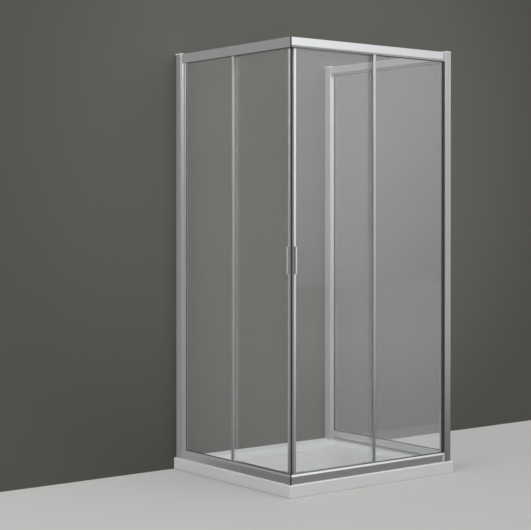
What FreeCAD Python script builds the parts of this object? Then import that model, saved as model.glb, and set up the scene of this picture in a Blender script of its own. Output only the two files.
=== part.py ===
import FreeCAD, Part
import math
import os

# Three-sided shower enclosure on a low tray, one wall side.
# Millimetres. +X runs along the wall, +Y points to the wall, +Z is up.
# The origin is the middle of the tray's footprint, on the floor.

V = FreeCAD.Vector

# Driving sizes of the whole
tray_length = 1000.0
tray_depth = 900.0
tray_height = 55.0
enclosure_height = 1950.0
ledge = 10.0
overrun = 5.0
join_gap = 0.001
flat_break = 1.2

# Rails and glazing, across the side from the outer face inwards
profile_wall = 2.0
lip_depth = 4.0
gasket_leg = 2.0
fixed_glass = 6.0
rib_wall = 1.6
door_gap = 4.4
stile_wall = 3.0
door_glass = 5.0
bar_gap = 1.0
hanger_plate = 3.0
head_room = 5.0

glass_out = lip_depth + gasket_leg
glass_in = glass_out + fixed_glass
rib_out = glass_in + gasket_leg
rib_in = rib_out + rib_wall
stile_out = rib_in + door_gap
door_out = stile_out + stile_wall
door_in = door_out + door_glass
stile_in = door_in + stile_wall
bar_out = stile_out + bar_gap
bar_in = stile_in - bar_gap
hanger_in = bar_in + hanger_plate
inner_out = hanger_in + head_room
rail_depth = inner_out + profile_wall

# Rails, up the section
edge_round = 2.0
small_round = 0.6
lip_height = 8.5
lip_toe = 3.2
lip_stand = 3.5
lip_round = 5.0
pocket_depth = 20.0
bar_height = 14.0
bar_drop = 3.0
hang_gap = 3.0
bead_width = 3.0
bead_height = 3.0
bead_round = 1.4
wheel_width = 7.0
wheel_side_room = 3.4
wheel_rim = 12.0
wheel_tread = 9.5
wheel_gap = 0.3
wheel_room = 1.2
inner_skirt = 8.0
upstand = 6.0
upstand_inset = 2.0

bar_top = bar_height - bar_drop
track_low = bar_top + hang_gap
track_top = track_low + profile_wall
bead_top = track_top + bead_height
axle_up = bead_top + wheel_gap + wheel_tread
rail_height = axle_up + wheel_rim + wheel_room + profile_wall
wheel_middle = rib_in + wheel_side_room + wheel_width / 2
bead_out = wheel_middle - bead_width / 2
bead_in = wheel_middle + bead_width / 2

# Guide lip of the bottom rail, from the tray upwards
guide_drop = 12.0
bottom_bar_height = 12.0
bar_lift = 2.0
guide_top = rail_height - guide_drop
guide_low = guide_top - profile_wall
guide_bead = guide_low - bead_height
bottom_bar_low = guide_top + bar_lift
bottom_bar_top = bottom_bar_low + bottom_bar_height

cap_height = 5.0
rail_top = enclosure_height - cap_height
top_base = rail_top - rail_height

# Posts, wall side and free corner
post_width = 40.0
post_round = 3.5
post_pocket = 12.0
end_block = 14.0
end_recess = 1.2
end_drop = 3.5
wall_block = 3.0
plug_length = 14.0
fit_gap = 0.3
wall_assembly = 50.0
channel_show = 18.0
channel_inset = 6.0
channel_room = 4.0
post_cell = 18.0
skirt_rib = 8.0
post_corner = 3.0
jamb_width = 35.0
jamb_pocket = 14.0
jamb_groove = 6.0
groove_depth = 1.0
connector_web = 7.0
connector_arm = 55.0
cap_plug = 10.0
cap_chamfer = 1.5

# Doors and fixed panes, along each side from the free corner
lead_start = 34.0
stile_width = 12.0
stile_web = 4.0
door_overlap = 7.0
edge_profile = 13.0
edge_wall = 2.0
edge_grip = 2.5
handle_room = 4.5
open_room = 6.0
magnet_gap = 0.3
gasket_show = 3.0
gasket_base = 2.0
clear_seal_width = 22.0
clear_seal_leg = 9.0
clear_seal = 1.8
overlap_seal_width = 6.0
running_gap = 0.3

# Handles
handle_length = 120.0
handle_centre = 976.0
handle_reach = 12.0
grip_reach = 8.0
handle_foot = 2.5
handle_blade = 4.0
handle_lip = 8.0
grip_lip = 5.0
handle_inset = 0.8
handle_round = 1.5
handle_screw_inset = 14.0

# Hangers and guides
hanger_width = 30.0
hanger_inset = 50.0
hanger_rise = 7.2
hanger_round = 6.0
axle_radius = 3.0
bearing_gap = 0.05
boss_radius = 5.0
boss_gap = 0.3
axle_head = 5.0
axle_head_height = 2.2
rivet_radius = 4.6
rivet_height = 1.6
small_screw = 1.9
small_head = 3.5
small_head_height = 2.0
hanger_screw_pitch = 18.0
buffer_length = 12.0
buffer_gap = 0.5
guide_width = 32.0
guide_depth = 9.0
guide_height = 16.0
guide_travel = 4.0
shoe_width = 18.0
shoe_thick = 5.0
shoe_arm = 9.4
shoe_side_gap = 0.3
shoe_roof = 0.6
shoe_reach = 2.7
button_width = 9.0
button_height = 4.0
button_reach = 7.0
guide_screw_pitch = 25.0
guide_screw = 1.5

# Fasteners in the frame
wall_hole = 3.0
wall_hole_count = 4
wall_hole_inset = 147.5
post_screw_count = 3
post_screw_inset = 250.0
screw_clear = 0.05
top_head_height = 1.4

# Tray and waste
tray_corner = 5.0
tray_top_round = 4.0
tray_foot_round = 2.5
rim_front = 72.0
rim_wall = 92.0
basin_drop = 15.0
basin_corner = 34.0
floor_fall = 6.0
cover_length = 310.0
cover_width = 160.0
cover_y = 205.0
cover_thick = 6.0
cover_gap = 2.0
cover_sink = 1.5
cover_foot = 4.5
cover_corner = 8.0
cover_edge = 1.2
cover_foot_radius = 9.0
cover_foot_inset = 24.0
waste_seat = 61.0
waste_seat_depth = 4.0
waste_hole = 44.0
waste_pocket = 72.0
waste_pocket_depth = 14.0
waste_flange = 60.0
waste_flange_thick = 2.5
waste_gasket = 1.5
waste_bore = 39.0
waste_mouth = 36.0
waste_socket = 11.0
waste_tube_wall = 4.0
waste_foot = 3.0
waste_nut = 58.0
waste_nut_height = 8.0
waste_bars = 3
waste_bar = 4.0
nut_lugs = 8
nut_lug_reach = 5.0
nut_lug_width = 12.0
cell_columns = 7
cell_rows = 6
cell_margin = 34.0
cell_rib = 16.0
cell_depth = 12.0

# Places that follow from the sizes above
near_x = -tray_length / 2 + ledge
near_y = -tray_depth / 2 + ledge
far_x = tray_length / 2 - ledge
front_length = tray_length - 2 * ledge
wall_length = tray_depth - ledge
post_start = front_length - post_width
front_rail_end = post_start - end_block
wall_post_start = wall_length - wall_assembly
wall_rail_end = wall_post_start - wall_block
jamb_start = wall_post_start - jamb_width
seat_low = rail_height - pocket_depth
glass_low = seat_low + gasket_base
glass_high = top_base + pocket_depth - gasket_base
mitre_gap = connector_web / math.sqrt(2)
pane_end = post_start + post_pocket - gasket_base
wall_hole_pitch = (rail_top - 2 * wall_hole_inset) / (wall_hole_count - 1)
post_screw_pitch = (rail_top - 2 * post_screw_inset) / (post_screw_count - 1)

# Each door takes half of its side's clear run, and the overlap.
front_door_width = (post_start - lead_start) / 2 + door_overlap
left_door_width = (jamb_start + jamb_pocket - lead_start) / 2 + door_overlap

nodes = {}


# Geometry helpers

def rounded(points, lift):
    # A flat face from corner points (a, b, radius); lift puts (a, b) in space.
    # A corner whose radius is small enough is broken flat instead of rounded.
    count = len(points)
    entries = []
    for index in range(count):
        a, b, radius = points[index]
        corner = V(a, b, 0)
        if radius == 0:
            entries.append((corner, None, corner))
            continue
        before = V(points[index - 1][0], points[index - 1][1], 0).sub(corner)
        after = V(points[(index + 1) % count][0], points[(index + 1) % count][1], 0).sub(corner)
        before.normalize()
        after.normalize()
        half = before.getAngle(after) / 2
        middle = before.add(after)
        middle.normalize()
        reach = radius / math.tan(half)
        centre = corner.add(middle * (radius / math.sin(half)))
        entries.append((corner.add(before * reach), centre.sub(middle * radius), corner.add(after * reach)))
    edges = []
    for index in range(count):
        start, through, end = entries[index]
        if through is not None and points[index][2] > flat_break:
            bend = Part.Arc(lift(start.x, start.y), lift(through.x, through.y), lift(end.x, end.y))
            edges.append(bend.toShape())
        elif through is not None:
            edges.append(Part.LineSegment(lift(start.x, start.y), lift(end.x, end.y)).toShape())
        following = entries[(index + 1) % count][0]
        if end.distanceToPoint(following) > join_gap:
            edges.append(Part.LineSegment(lift(end.x, end.y), lift(following.x, following.y)).toShape())
    return Part.Face(Part.Wire(edges))


def along(points, start, end, base=0.0):
    # A section (inwards, up) run along the side from start to end.
    face = rounded(points, lambda u, v: V(start, u, base + v))
    return face.extrude(V(end - start, 0, 0))


def upright(points, low, high):
    # A plan outline (along, inwards) run upwards.
    face = rounded(points, lambda s, u: V(s, u, low))
    return face.extrude(V(0, 0, high - low))


def across(points, start, end):
    # A face outline (along, up) run inwards from start to end.
    face = rounded(points, lambda s, z: V(s, start, z))
    return face.extrude(V(0, end - start, 0))


def block(s0, s1, u0, u1, z0, z1):
    return Part.makeBox(s1 - s0, u1 - u0, z1 - z0, V(s0, u0, z0))


def rod(s, z, start, end, radius):
    # A cylinder across the side.
    direction = 1 if end > start else -1
    return Part.makeCylinder(radius, abs(end - start), V(s, start, z), V(0, direction, 0))


def box_points(a0, a1, b0, b1, radius=0.0):
    return [(a0, b0, radius), (a1, b0, radius), (a1, b1, radius), (a0, b1, radius)]


def fuse(shapes):
    result = shapes[0].multiFuse(shapes[1:]) if len(shapes) > 1 else shapes[0]
    return result.removeSplitter()


def to_front(shape):
    placed = shape.copy()
    placed.translate(V(near_x, near_y, tray_height))
    return placed


def to_left(shape):
    placed = shape.mirror(V(0, 0, 0), V(1, -1, 0))
    placed.translate(V(near_x, near_y, tray_height))
    return placed


def to_side(shape):
    placed = shape.copy()
    placed.rotate(V(0, 0, 0), V(0, 0, 1), 90)
    placed.translate(V(far_x, near_y, tray_height))
    return placed


def keep(name, shapes):
    # One node: a single solid, or a group of separate solids.
    if not isinstance(shapes, list):
        shapes = [shapes]
    solids = []
    for shape in shapes:
        solids.extend(shape.Solids)
    nodes[name] = solids[0] if len(solids) == 1 else Part.makeCompound(solids)


# Rail extrusions

def top_envelope():
    return [
        (0, rail_height, edge_round),
        (0, lip_height, lip_round),
        (lip_toe, 0, small_round),
        (rail_depth, 0, 0),
        (rail_depth, rail_height, edge_round),
    ]


def bottom_envelope():
    return [
        (0, 0, 0),
        (0, rail_height - lip_height, lip_round),
        (lip_toe, rail_height, small_round),
        (rail_depth - upstand_inset, rail_height, 0),
        (rail_depth - upstand_inset, 0, 0),
    ]


def top_section():
    return [
        (0, rail_height, edge_round),
        (0, lip_height, lip_round),
        (lip_toe, 0, small_round),
        (lip_depth, 0, 0),
        (lip_depth, lip_stand, 0),
        (profile_wall, lip_height + small_round, 0),
        (profile_wall, pocket_depth, 0),
        (rib_out, pocket_depth, 0),
        (rib_out, 0, 0),
        (rib_in, 0, 0),
        (rib_in, track_low, 0),
        (bead_in, track_low, small_round),
        (bead_in, bead_top, bead_round),
        (bead_out, bead_top, bead_round),
        (bead_out, track_top, 0),
        (rib_in, track_top, 0),
        (rib_in, rail_height - profile_wall, 0),
        (inner_out, rail_height - profile_wall, 0),
        (inner_out, inner_skirt, small_round),
        (rail_depth, inner_skirt, small_round),
        (rail_depth, rail_height, edge_round),
    ]


def bottom_section():
    last = rail_depth - upstand_inset
    return [
        (0, 0, 0),
        (0, rail_height - lip_height, lip_round),
        (lip_toe, rail_height, small_round),
        (lip_depth, rail_height, 0),
        (lip_depth, rail_height - lip_stand, 0),
        (profile_wall, rail_height - lip_height - small_round, 0),
        (profile_wall, seat_low, 0),
        (rib_out, seat_low, 0),
        (rib_out, rail_height, 0),
        (rib_in, rail_height, 0),
        (rib_in, guide_top, 0),
        (bead_in, guide_top, small_round),
        (bead_in, guide_bead, bead_round),
        (bead_out, guide_bead, bead_round),
        (bead_out, guide_low, 0),
        (rib_in, guide_low, 0),
        (rib_in, profile_wall, 0),
        (last - profile_wall, profile_wall, 0),
        (last - profile_wall, upstand, small_round),
        (last, upstand, small_round),
        (last, 0, 0),
    ]


def chamber(low, high, slack=0.0):
    return box_points(profile_wall + slack, rib_out - slack, low + slack, high - slack, edge_round / 2)


top_chamber = (pocket_depth + profile_wall, rail_height - profile_wall)
bottom_chamber = (profile_wall, seat_low - profile_wall)


def rail(section, room, start, end, base):
    body = along(section(), start, end, base)
    hollow = along(chamber(room[0], room[1]), start - overrun, end + overrun, base)
    return body.cut(hollow)


def mitre(body):
    # Cuts a rail back from the diagonal at the free corner.
    far = rail_depth + overrun
    plan = [
        (-overrun, -overrun, 0),
        (mitre_gap - overrun, -overrun, 0),
        (mitre_gap + far, far, 0),
        (-overrun, far, 0),
    ]
    return body.cut(upright(plan, -overrun, enclosure_height + overrun))


def top_screw(s, length):
    # A pan-head screw down through the top web of a rail.
    middle = (profile_wall + rib_out) / 2
    shank = Part.makeCylinder(small_screw, length, V(s, middle, rail_top - length))
    head = Part.makeCone(small_head, small_head * 2 / 3, top_head_height, V(s, middle, rail_top))
    return fuse([shank, head])


def top_screw_hole(s, length):
    middle = (profile_wall + rib_out) / 2
    radius = small_screw + screw_clear
    return Part.makeCylinder(radius, length + overrun, V(s, middle, rail_top - length))


corner_screw = connector_arm * 3 / 5
screw_length = profile_wall * 4
front_end_screw = front_rail_end - plug_length / 2
wall_end_screw = wall_rail_end - plug_length / 2
side_start = post_width + end_block
side_start_screw = side_start + plug_length / 2


def frame_rails():
    runs = [
        ("left", to_left, 0.0, wall_rail_end, True, [corner_screw, wall_end_screw]),
        ("front", to_front, 0.0, front_rail_end, True, [corner_screw, front_end_screw]),
        ("side", to_side, side_start, wall_rail_end, False, [side_start_screw, wall_end_screw]),
    ]
    screws = []
    for name, place, start, end, mitred, screw_places in runs:
        top = rail(top_section, top_chamber, start, end, top_base)
        bottom = rail(bottom_section, bottom_chamber, start, end, 0.0)
        for s in screw_places:
            top = top.cut(top_screw_hole(s, screw_length))
            screws.append(place(top_screw(s, screw_length)))
        if mitred:
            top = mitre(top)
            bottom = mitre(bottom)
        keep("top_rail_" + name, place(top))
        keep("bottom_rail_" + name, place(bottom))
    return screws


def connector(envelope, room, base, passage):
    # Diagonal web of the free corner with an arm into each rail's chamber.
    far = rail_depth
    web_plan = [
        (0, 0, 0),
        (mitre_gap, 0, 0),
        (far, far - mitre_gap, 0),
        (far, far, 0),
        (far - mitre_gap, far, 0),
        (0, mitre_gap, 0),
    ]
    web = upright(web_plan, base, base + rail_height)
    shell = along(envelope(), 0, far, base)
    web = web.common(shell).common(shell.mirror(V(0, 0, 0), V(1, -1, 0)))
    low, high = passage
    web = web.cut(block(rib_in, far + overrun, rib_in, far + overrun, low, high))
    arm = along(chamber(room[0], room[1], fit_gap), lip_depth, connector_arm, base)
    return fuse([web, arm, arm.mirror(V(0, 0, 0), V(1, -1, 0))])


def corner_connectors():
    top = connector(top_envelope, top_chamber, top_base, (top_base - overrun, top_base + pocket_depth))
    hole = top_screw_hole(corner_screw, screw_length)
    top = top.cut(hole).cut(hole.mirror(V(0, 0, 0), V(1, -1, 0)))
    bottom = connector(
        bottom_envelope, bottom_chamber, 0.0, (guide_bead / 2, rail_height + overrun)
    )
    keep("corner_connectors", [to_front(top), to_front(bottom)])


def end_connectors():
    # Moulded blocks between rail ends and posts, each with a plug in the rail.
    slot = (lip_depth - fit_gap, rib_out + fit_gap)
    solids = []
    ends = [
        (to_front, front_rail_end, post_start, 1, True, front_end_screw),
        (to_side, side_start, post_width, -1, True, side_start_screw),
        (to_left, wall_rail_end, wall_post_start, 1, False, wall_end_screw),
        (to_side, wall_rail_end, wall_post_start, 1, True, wall_end_screw),
    ]
    for place, rail_end, face, way, slotted, screw_at in ends:
        first, second = sorted((rail_end, face))
        inner = rail_end - way * plug_length
        plug_from, plug_to = sorted((inner, face))
        top = along(top_envelope(), first, second, top_base)
        top = top.common(block(first, second, end_recess, rail_depth, top_base, rail_top - end_drop))
        bottom = along(bottom_envelope(), first, second, 0.0)
        bottom = bottom.common(block(first, second, end_recess, rail_depth, 0, rail_height))
        if slotted:
            cut_from = first - overrun
            cut_to = second + overrun
            edge = top_base + pocket_depth + fit_gap
            top = top.cut(block(cut_from, cut_to, slot[0], slot[1], top_base - overrun, edge))
            edge = seat_low - fit_gap
            bottom = bottom.cut(block(cut_from, cut_to, slot[0], slot[1], edge, rail_height + overrun))
        top_plug = chamber(top_chamber[0], top_chamber[1], fit_gap)
        top_plug = along(top_plug, plug_from, plug_to, top_base)
        bottom_plug = chamber(bottom_chamber[0], bottom_chamber[1], fit_gap)
        bottom_plug = along(bottom_plug, plug_from, plug_to, 0.0)
        top = fuse([top, top_plug]).cut(top_screw_hole(screw_at, screw_length))
        bottom = fuse([bottom, bottom_plug])
        solids.extend([place(top), place(bottom)])
    keep("rail_end_connectors", solids)


# Posts, channels and jambs

def eased_cap(plan):
    # A moulded cap with its upper edges chamfered.
    cap = upright(plan, rail_top, enclosure_height)
    upper = [edge for edge in cap.Edges if edge.BoundBox.ZMin > enclosure_height - fit_gap]
    return cap.makeChamfer(cap_chamfer, upper)


def wall_parts(glazed):
    # Channel on the wall and the post whose skirts slide over it; a glazed post holds the pane's edge.
    width = rail_depth
    wall = profile_wall
    post_from = wall_post_start
    post_to = wall_length - channel_show
    skirt_from = post_from + post_cell
    leg_from = skirt_from + channel_room
    leg_out = channel_inset
    leg_in = width - channel_inset
    channel_plan = [
        (leg_from, leg_out, small_round),
        (wall_length, leg_out, 0),
        (wall_length, leg_in, 0),
        (leg_from, leg_in, small_round),
        (leg_from, leg_in - wall, 0),
        (wall_length - wall, leg_in - wall, 0),
        (wall_length - wall, leg_out + wall, 0),
        (leg_from, leg_out + wall, 0),
    ]
    channel = upright(channel_plan, 0, rail_top)
    for index in range(wall_hole_count):
        z = wall_hole_inset + index * wall_hole_pitch
        hole = Part.makeCylinder(wall_hole, wall + 2 * overrun,
                                 V(wall_length - wall - overrun, width / 2, z), V(1, 0, 0))
        channel = channel.cut(hole)
    rib_from = post_to - skirt_rib
    post_plan = [
        (post_from, 0, post_corner),
        (post_to, 0, small_round),
        (post_to, leg_out - fit_gap, 0),
        (rib_from, leg_out - fit_gap, 0),
        (rib_from, wall, 0),
        (skirt_from, wall, 0),
        (skirt_from, width - wall, 0),
        (rib_from, width - wall, 0),
        (rib_from, leg_in + fit_gap, 0),
        (post_to, leg_in + fit_gap, 0),
        (post_to, width, small_round),
        (post_from, width, post_corner),
    ]
    post = upright(post_plan, 0, rail_top)
    cell_out = wall
    if glazed:
        cell_out = rib_out + wall
        pocket = block(post_from - overrun, post_from + post_pocket, lip_depth, rib_out,
                       -overrun, rail_top + overrun)
        post = post.cut(pocket)
    cell = box_points(post_from + wall, skirt_from - wall, cell_out, width - wall, groove_depth)
    post = post.cut(upright(cell, -overrun, rail_top + overrun))
    screws = []
    screw_s = post_to - skirt_rib / 2
    for index in range(post_screw_count):
        z = post_screw_inset + index * post_screw_pitch
        reach = leg_in - wall
        hole = rod(screw_s, z, reach - wall, width + overrun, small_screw + screw_clear)
        channel = channel.cut(hole)
        post = post.cut(hole)
        shank = rod(screw_s, z, reach, width, small_screw)
        head = rod(screw_s, z, width, width + small_head_height, small_head)
        screws.append(fuse([shank, head]))
    cap_plan = box_points(wall_post_start, wall_length, 0, width, post_corner)
    cap = eased_cap(cap_plan)
    plug = box_points(post_from + wall + fit_gap, skirt_from - wall - fit_gap,
                      cell_out + fit_gap, width - wall - fit_gap, groove_depth)
    cap = fuse([cap, upright(plug, rail_top - cap_plug, rail_top)])
    return channel, post, cap, screws


def glazing_jamb():
    # Upright between the rails that holds the left pane's wall end.
    jamb_out = profile_wall
    jamb_in = rib_out + profile_wall
    pocket_to = jamb_start + jamb_pocket
    groove_from = pocket_to + profile_wall
    jamb_plan = [
        (jamb_start, jamb_out, edge_round * 3 / 4),
        (groove_from - groove_depth, jamb_out, 0),
        (groove_from, jamb_out + groove_depth, 0),
        (groove_from + jamb_groove, jamb_out + groove_depth, 0),
        (groove_from + jamb_groove + groove_depth, jamb_out, 0),
        (wall_post_start, jamb_out, edge_round / 2),
        (wall_post_start, jamb_in, edge_round / 2),
        (jamb_start, jamb_in, edge_round * 3 / 4),
        (jamb_start, rib_out, 0),
        (pocket_to, rib_out, 0),
        (pocket_to, lip_depth, 0),
        (jamb_start, lip_depth, 0),
    ]
    jamb = upright(jamb_plan, rail_height, top_base)
    hollow = box_points(pocket_to + profile_wall, wall_post_start - profile_wall,
                        jamb_out + groove_depth + profile_wall, jamb_in - profile_wall, groove_depth)
    return jamb.cut(upright(hollow, 0, rail_top))


def corner_post():
    start = post_start
    end = front_length
    out = lip_depth
    back = rib_out
    deep = post_pocket
    plan = [
        (start, 0, edge_round),
        (end, 0, post_round),
        (end, post_width, edge_round),
        (end - out, post_width, 0),
        (end - out, post_width - deep, 0),
        (end - back, post_width - deep, 0),
        (end - back, post_width, 0),
        (start, post_width, edge_round),
        (start, back, 0),
        (start + deep, back, 0),
        (start + deep, out, 0),
        (start, out, 0),
    ]
    body = upright(plan, 0, rail_top)
    wall = profile_wall
    outer_hollow = [
        (start + deep + wall, wall, groove_depth),
        (end - wall, wall, post_round - wall),
        (end - wall, post_width - deep - wall, groove_depth),
        (start + deep + wall, post_width - deep - wall, groove_depth),
    ]
    inner_hollow = box_points(start + wall, end - back - wall, back + wall, post_width - wall, groove_depth)
    hollow = fuse([upright(outer_hollow, -overrun, rail_top + overrun),
                   upright(inner_hollow, -overrun, rail_top + overrun)])
    body = body.cut(hollow)
    cap_plan = [
        (start, 0, edge_round),
        (end, 0, post_round),
        (end, post_width, edge_round),
        (start, post_width, edge_round),
    ]
    cap = eased_cap(cap_plan)
    gap = wall + fit_gap
    plug_plan = [
        (start + deep + gap, gap, groove_depth),
        (end - gap, gap, post_round - gap),
        (end - gap, post_width - deep - gap, groove_depth),
        (start + deep + gap, post_width - deep - gap, groove_depth),
    ]
    cap = fuse([cap, upright(plug_plan, rail_top - cap_plug, rail_top)])
    return body, cap


# Fixed panes, their edges and gaskets

def gasket_section(low, high, base_at_top):
    # U round a glass edge, seen along the run, v from low to high.
    if base_at_top:
        return [
            (lip_depth, low, small_round), (glass_out, low, 0), (glass_out, high - gasket_base, 0),
            (glass_in, high - gasket_base, 0), (glass_in, low, 0), (rib_out, low, small_round),
            (rib_out, high, 0), (lip_depth, high, 0),
        ]
    return [
        (lip_depth, high, small_round), (glass_out, high, 0), (glass_out, low + gasket_base, 0),
        (glass_in, low + gasket_base, 0), (glass_in, high, 0), (rib_out, high, small_round),
        (rib_out, low, 0), (lip_depth, low, 0),
    ]


def upright_gasket(start, end, low, high, way):
    # U round an upright glass edge; way is +1 where the base lies at the end.
    base = end if way > 0 else start
    mouth = start if way > 0 else end
    floor = base - way * gasket_base
    plan = [
        (mouth, lip_depth, small_round), (mouth, glass_out, 0), (floor, glass_out, 0),
        (floor, glass_in, 0), (mouth, glass_in, 0), (mouth, rib_out, small_round),
        (base, rib_out, 0), (base, lip_depth, 0),
    ]
    return upright(plan, low, high)


def pane_gaskets(start, end):
    top = along(gasket_section(-gasket_show, pocket_depth, True), start, end, top_base)
    bottom = along(gasket_section(seat_low, rail_height + gasket_show, False), start, end, 0.0)
    return [top, bottom]


def edge_trim(start):
    # Slim U profile on the free edge of a fixed pane.
    out = glass_out - edge_grip
    inside = glass_in + edge_grip
    end = start + edge_profile
    plan = [
        (start, out, edge_grip),
        (end, out, small_round),
        (end, glass_out, 0),
        (start + edge_wall, glass_out, 0),
        (start + edge_wall, glass_in, 0),
        (end, glass_in, 0),
        (end, inside, small_round),
        (start, inside, edge_grip),
    ]
    return upright(plan, rail_height, top_base)


def overlap_seal(start):
    first = start + gasket_show
    last = first + overlap_seal_width
    inside = glass_in + edge_grip
    tip = door_out - clear_seal - running_gap
    middle = (first + last) / 2
    plan = [
        (first, inside, 0),
        (middle - small_round, tip, 0),
        (middle + small_round, tip, 0),
        (last, inside, 0),
    ]
    return upright(plan, rail_height + gasket_show, top_base - gasket_show)


def fixed_panes(front_edge, left_edge):
    gaskets = []
    post_low = glass_low - gasket_base
    post_high = glass_high + gasket_base
    jamb_end = jamb_start + jamb_pocket
    wall_glass_end = jamb_end - gasket_base
    wall_low = rail_height + gasket_show
    wall_high = top_base - gasket_show

    front = block(front_edge + edge_wall, pane_end, glass_out, glass_in, glass_low, glass_high)
    keep("fixed_glass_front", to_front(front))
    for gasket in pane_gaskets(front_edge + edge_profile, front_rail_end):
        gaskets.append(to_front(gasket))
    gasket = upright_gasket(front_rail_end, post_start + post_pocket, post_low, post_high, 1)
    gaskets.append(to_front(gasket))

    left = block(left_edge + edge_wall, wall_glass_end, glass_out, glass_in, glass_low, glass_high)
    keep("fixed_glass_left", to_left(left))
    for gasket in pane_gaskets(left_edge + edge_profile, jamb_end):
        gaskets.append(to_left(gasket))
    gaskets.append(to_left(upright_gasket(jamb_start, jamb_end, wall_low, wall_high, 1)))

    side_from = post_width - post_pocket + gasket_base
    side_end = wall_post_start + post_pocket
    side = block(side_from, side_end - gasket_base, glass_out, glass_in, glass_low, glass_high)
    keep("side_glass", to_side(side))
    for gasket in pane_gaskets(side_start, wall_rail_end):
        gaskets.append(to_side(gasket))
    gaskets.append(to_side(upright_gasket(post_width - post_pocket, side_start, post_low, post_high, -1)))
    gaskets.append(to_side(upright_gasket(wall_rail_end, side_end, post_low, post_high, 1)))
    keep("glazing_gaskets", gaskets)

    keep("fixed_edge_profile_front", to_front(edge_trim(front_edge)))
    keep("fixed_edge_profile_left", to_left(edge_trim(left_edge)))
    keep("overlap_seals", [to_front(overlap_seal(front_edge)), to_left(overlap_seal(left_edge))])


# Doors

def handle_pair():
    # Outer pull with a rolled lip, and a low grip on the inner face.
    half = handle_length / 2
    h0 = lead_start + handle_inset
    h1 = lead_start + stile_width - handle_inset
    tip = stile_out - handle_reach
    foot = stile_out - handle_foot
    plan = [
        (h0, stile_out, 0),
        (h1, stile_out, 0),
        (h1, foot, groove_depth),
        (h0 + handle_blade, foot, small_round),
        (h0 + handle_blade, tip + handle_foot, handle_foot / 2),
        (h0 + handle_lip, tip + handle_foot, groove_depth),
        (h0 + handle_lip, tip, groove_depth),
        (h0, tip, groove_depth),
    ]
    outer = upright(plan, handle_centre - half, handle_centre + half)
    low = handle_centre - half
    high = handle_centre + half
    side_view = [
        (stile_out, low, 0), (tip, low, handle_round), (tip, high, handle_round), (stile_out, high, 0),
    ]
    shape = rounded(side_view, lambda u, z: V(h0 - overrun, u, z))
    outer = outer.common(shape.extrude(V(h1 - h0 + 2 * overrun, 0, 0)))
    grip_tip = stile_in + grip_reach
    grip_foot = stile_in + handle_foot
    plan = [
        (h1, stile_in, 0),
        (h0, stile_in, 0),
        (h0, grip_foot, groove_depth),
        (h1 - handle_blade, grip_foot, small_round),
        (h1 - handle_blade, grip_tip - handle_foot, groove_depth),
        (h1 - grip_lip, grip_tip - handle_foot, small_round / 2),
        (h1 - grip_lip, grip_tip, small_round),
        (h1, grip_tip, groove_depth),
    ]
    inner = upright(plan, low, high)
    side_view = [
        (stile_in, low, 0), (grip_tip, low, handle_round),
        (grip_tip, high, handle_round), (stile_in, high, 0),
    ]
    shape = rounded(side_view, lambda u, z: V(h0 - overrun, u, z))
    inner = inner.common(shape.extrude(V(h1 - h0 + 2 * overrun, 0, 0)))
    return outer, inner


def hanger(s):
    # Plate on the inner face of the top bar, with a boss for the axle.
    low = top_base - bar_drop + groove_depth
    high = top_base + axle_up + hanger_rise
    half = hanger_width / 2
    plate = across([
        (s - half, low, groove_depth), (s + half, low, groove_depth),
        (s + half, high, hanger_round), (s - half, high, hanger_round),
    ], bar_in, hanger_in)
    boss_end = wheel_middle + wheel_width / 2 + boss_gap
    boss = rod(s, top_base + axle_up, boss_end, bar_in, boss_radius)
    hole = rod(s, top_base + axle_up, boss_end - overrun, hanger_in + overrun, axle_radius + screw_clear)
    return fuse([plate, boss]).cut(hole)


def axle(s):
    z = top_base + axle_up
    wheel_out = wheel_middle - wheel_width / 2 - boss_gap
    shank = rod(s, z, wheel_out, hanger_in, axle_radius)
    head = rod(s, z, hanger_in, hanger_in + axle_head_height, axle_head)
    rivet = rod(s, z, wheel_out - rivet_height, wheel_out, rivet_radius)
    return fuse([shank, head, rivet])


def wheel(s):
    # Grooved wheel that rides on the bead of the top rail.
    z = top_base + axle_up
    out = wheel_middle - wheel_width / 2
    inside = wheel_middle + wheel_width / 2
    bore = axle_radius + bearing_gap
    land = wheel_width / 9
    foot = bead_width / 2 + running_gap
    edge = wheel_rim - small_round
    profile = [
        (out, bore, 0),
        (out, edge, 0),
        (out + land, wheel_rim, 0),
        (wheel_middle - foot, wheel_tread, 0),
        (wheel_middle + foot, wheel_tread, 0),
        (inside - land, wheel_rim, 0),
        (inside, edge, 0),
        (inside, bore, 0),
    ]
    face = rounded(profile, lambda u, r: V(s, u, z + r))
    return face.revolve(V(s, 0, z), V(0, 1, 0), 360)


def screw_in(s, z, face, depth, shank, head, height):
    # Pan-head screw driven outwards from the inner side; face is where the head sits.
    return fuse([rod(s, z, face - depth, face, shank), rod(s, z, face, face + height, head)])


def guide_housing(s):
    half = guide_width / 2
    low = bottom_bar_low
    high = low + guide_height
    face = bar_in + guide_depth
    body = across([
        (s - half, low, groove_depth), (s + half, low, groove_depth),
        (s + half, high, post_corner), (s - half, high, post_corner),
    ], bar_in, face)
    pocket_from = bar_in + profile_wall
    pocket_to = pocket_from + shoe_thick + 2 * shoe_side_gap / 3
    pocket_half = shoe_width / 2
    pocket = block(s - pocket_half, s + pocket_half, pocket_from, pocket_to,
                   low - overrun, high - profile_wall)
    body = body.cut(pocket)
    window_half = button_width / 2 + shoe_side_gap
    window_high = high - profile_wall
    window_low = window_high - button_height - guide_travel - profile_wall * 2
    body = body.cut(block(s - window_half, s + window_half, pocket_to - overrun / 2, face + overrun,
                          window_low, window_high))
    return body


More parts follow.
